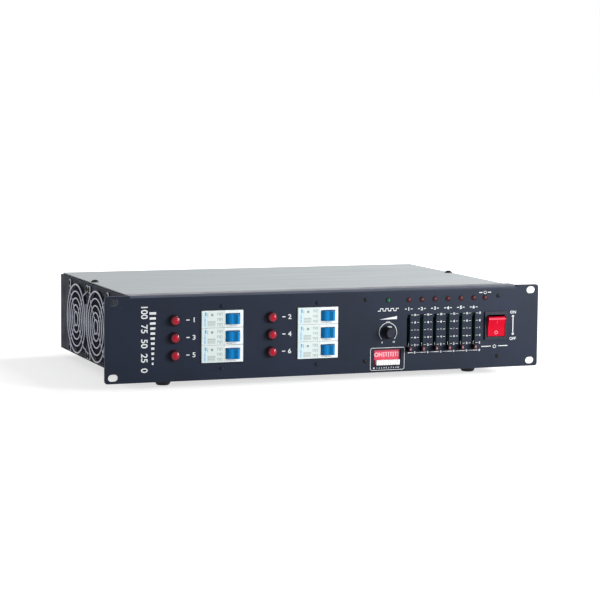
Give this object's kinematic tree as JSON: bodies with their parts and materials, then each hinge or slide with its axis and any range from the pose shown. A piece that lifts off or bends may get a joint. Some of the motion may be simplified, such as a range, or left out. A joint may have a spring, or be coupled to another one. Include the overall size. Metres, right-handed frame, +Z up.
{
  "type": "dimmer pack",
  "caption": "Rack-mount dimmer pack for stage lighting with circuit breakers, signal lamps, channel faders, address switch, preheat knob, power rocker and side fans.",
  "frame": {"origin": "centre of the bounding box in plan, on the plane that the feet stand on", "axes": "+X to the right seen from the front, +Y from the front panel to the rear, +Z up"},
  "size_m": [0.4826, 0.3092, 0.0968],
  "materials": {
    "panel_paint": "satin blue-black powder coat",
    "case_paint": "satin black powder coat on folded steel",
    "zinc_sheet": "plain zinc-plated steel sheet, faintly streaked",
    "foot_rubber": "matt black moulded rubber",
    "breaker_case": "white moulded plastic",
    "toggle_plastic": "blue moulded plastic",
    "rail_steel": "zinc-plated steel",
    "lamp_lens": "clear red lens",
    "circuit_board": "green circuit board with black parts",
    "power_board": "aluminium heat sink and wound chokes on a green board",
    "black_plastic": "black moulded plastic",
    "switch_red": "red moulded plastic",
    "key_white": "white moulded plastic",
    "rocker_red": "glossy red plastic",
    "guard_chrome": "bright chrome-plated wire",
    "fan_plastic": "black glass-filled plastic",
    "socket_metal": "satin nickel-plated"
  },
  "bodies": {
    "case": {"chassis_tray": "case_paint", "top_cover": "zinc_sheet", "front_panel": "panel_paint", "rear_panel": "case_paint", "foot_front_left": "foot_rubber", "foot_front_right": "foot_rubber", "foot_rear_left": "foot_rubber", "foot_rear_right": "foot_rubber", "breaker_1": "breaker_case", "breaker_3": "breaker_case", "breaker_5": "breaker_case", "breaker_2": "breaker_case", "breaker_4": "breaker_case", "breaker_6": "breaker_case", "channel_lamp_1": "lamp_lens", "channel_lamp_3": "lamp_lens", "channel_lamp_5": "lamp_lens", "channel_lamp_2": "lamp_lens", "channel_lamp_4": "lamp_lens", "channel_lamp_6": "lamp_lens", "breaker_rail_left": "rail_steel", "breaker_rail_right": "rail_steel", "control_board": "circuit_board", "address_switch": "switch_red", "power_switch_frame": "black_plastic", "fan_frame_front": "fan_plastic", "fan_guard_front": "guard_chrome", "fan_frame_rear": "fan_plastic", "fan_guard_rear": "guard_chrome", "signal_out_socket": "socket_metal", "signal_in_socket": "socket_metal", "output_socket": "socket_metal", "mains_gland": "black_plastic", "dimmer_board": "power_board"},
    "toggle_1": {"breaker_toggle_1": "toggle_plastic"},
    "toggle_3": {"breaker_toggle_3": "toggle_plastic"},
    "toggle_5": {"breaker_toggle_5": "toggle_plastic"},
    "toggle_2": {"breaker_toggle_2": "toggle_plastic"},
    "toggle_4": {"breaker_toggle_4": "toggle_plastic"},
    "toggle_6": {"breaker_toggle_6": "toggle_plastic"},
    "fader_cap_1": {"fader_1": "black_plastic"},
    "fader_cap_2": {"fader_2": "black_plastic"},
    "fader_cap_3": {"fader_3": "black_plastic"},
    "fader_cap_4": {"fader_4": "black_plastic"},
    "fader_cap_5": {"fader_5": "black_plastic"},
    "fader_cap_6": {"fader_6": "black_plastic"},
    "knob": {"preheat_knob": "black_plastic"},
    "key_1": {"address_key_1": "key_white"},
    "key_2": {"address_key_2": "key_white"},
    "key_3": {"address_key_3": "key_white"},
    "key_4": {"address_key_4": "key_white"},
    "key_5": {"address_key_5": "key_white"},
    "key_6": {"address_key_6": "key_white"},
    "key_7": {"address_key_7": "key_white"},
    "key_8": {"address_key_8": "key_white"},
    "key_9": {"address_key_9": "key_white"},
    "key_10": {"address_key_10": "key_white"},
    "rocker": {"power_rocker": "rocker_red"},
    "rotor_front": {"fan_rotor_front": "fan_plastic"},
    "rotor_rear": {"fan_rotor_rear": "fan_plastic"}
  },
  "joints": [
    {"name": "breaker_1_switch", "type": "hinge", "parent": "case", "child": "toggle_1", "pos_m": [-0.1068, -0.1432, 0.0691], "axis": [0, 0, -1], "range_deg": [0, 60]},
    {"name": "breaker_3_switch", "type": "hinge", "parent": "case", "child": "toggle_3", "pos_m": [-0.1068, -0.1432, 0.0513], "axis": [0, 0, -1], "range_deg": [0, 60]},
    {"name": "breaker_5_switch", "type": "hinge", "parent": "case", "child": "toggle_5", "pos_m": [-0.1068, -0.1432, 0.0335], "axis": [0, 0, -1], "range_deg": [0, 60]},
    {"name": "breaker_2_switch", "type": "hinge", "parent": "case", "child": "toggle_2", "pos_m": [-0.0026, -0.1432, 0.0691], "axis": [0, 0, -1], "range_deg": [0, 60]},
    {"name": "breaker_4_switch", "type": "hinge", "parent": "case", "child": "toggle_4", "pos_m": [-0.0026, -0.1432, 0.0513], "axis": [0, 0, -1], "range_deg": [0, 60]},
    {"name": "breaker_6_switch", "type": "hinge", "parent": "case", "child": "toggle_6", "pos_m": [-0.0026, -0.1432, 0.0335], "axis": [0, 0, -1], "range_deg": [0, 60]},
    {"name": "fader_1_travel", "type": "slide", "parent": "case", "child": "fader_cap_1", "axis": [0, 0, 1], "range_m": [0, 0.03]},
    {"name": "fader_2_travel", "type": "slide", "parent": "case", "child": "fader_cap_2", "axis": [0, 0, 1], "range_m": [0, 0.03]},
    {"name": "fader_3_travel", "type": "slide", "parent": "case", "child": "fader_cap_3", "axis": [0, 0, 1], "range_m": [0, 0.03]},
    {"name": "fader_4_travel", "type": "slide", "parent": "case", "child": "fader_cap_4", "axis": [0, 0, 1], "range_m": [0, 0.03]},
    {"name": "fader_5_travel", "type": "slide", "parent": "case", "child": "fader_cap_5", "axis": [0, 0, 1], "range_m": [0, 0.03]},
    {"name": "fader_6_travel", "type": "slide", "parent": "case", "child": "fader_cap_6", "axis": [0, 0, 1], "range_m": [0, 0.03]},
    {"name": "preheat_turn", "type": "hinge", "parent": "case", "child": "knob", "pos_m": [0.0658, -0.1447, 0.049], "axis": [0, 1, 0], "range_deg": [-150, 150]},
    {"name": "address_key_1_travel", "type": "slide", "parent": "case", "child": "key_1", "axis": [0, 0, 1], "range_m": [0, 0.002]},
    {"name": "address_key_2_travel", "type": "slide", "parent": "case", "child": "key_2", "axis": [0, 0, 1], "range_m": [0, 0.002]},
    {"name": "address_key_3_travel", "type": "slide", "parent": "case", "child": "key_3", "axis": [0, 0, 1], "range_m": [0, 0.002]},
    {"name": "address_key_4_travel", "type": "slide", "parent": "case", "child": "key_4", "axis": [0, 0, 1], "range_m": [0, 0.002]},
    {"name": "address_key_5_travel", "type": "slide", "parent": "case", "child": "key_5", "axis": [0, 0, 1], "range_m": [0, 0.002]},
    {"name": "address_key_6_travel", "type": "slide", "parent": "case", "child": "key_6", "axis": [0, 0, 1], "range_m": [0, 0.002]},
    {"name": "address_key_7_travel", "type": "slide", "parent": "case", "child": "key_7", "axis": [0, 0, 1], "range_m": [0, 0.002]},
    {"name": "address_key_8_travel", "type": "slide", "parent": "case", "child": "key_8", "axis": [0, 0, 1], "range_m": [0, 0.002]},
    {"name": "address_key_9_travel", "type": "slide", "parent": "case", "child": "key_9", "axis": [0, 0, 1], "range_m": [0, 0.002]},
    {"name": "address_key_10_travel", "type": "slide", "parent": "case", "child": "key_10", "axis": [0, 0, 1], "range_m": [0, 0.002]},
    {"name": "power_rocker_tilt", "type": "hinge", "parent": "case", "child": "rocker", "pos_m": [0.1905, -0.1427, 0.052], "axis": [-1, 0, 0], "range_deg": [0, 20]},
    {"name": "fan_front_spin", "type": "hinge", "parent": "case", "child": "rotor_front", "pos_m": [-0.2, -0.031, 0.0513], "axis": [1, 0, 0], "continuous": true},
    {"name": "fan_rear_spin", "type": "hinge", "parent": "case", "child": "rotor_rear", "pos_m": [-0.2, 0.0494, 0.0513], "axis": [1, 0, 0], "continuous": true}
  ]
}
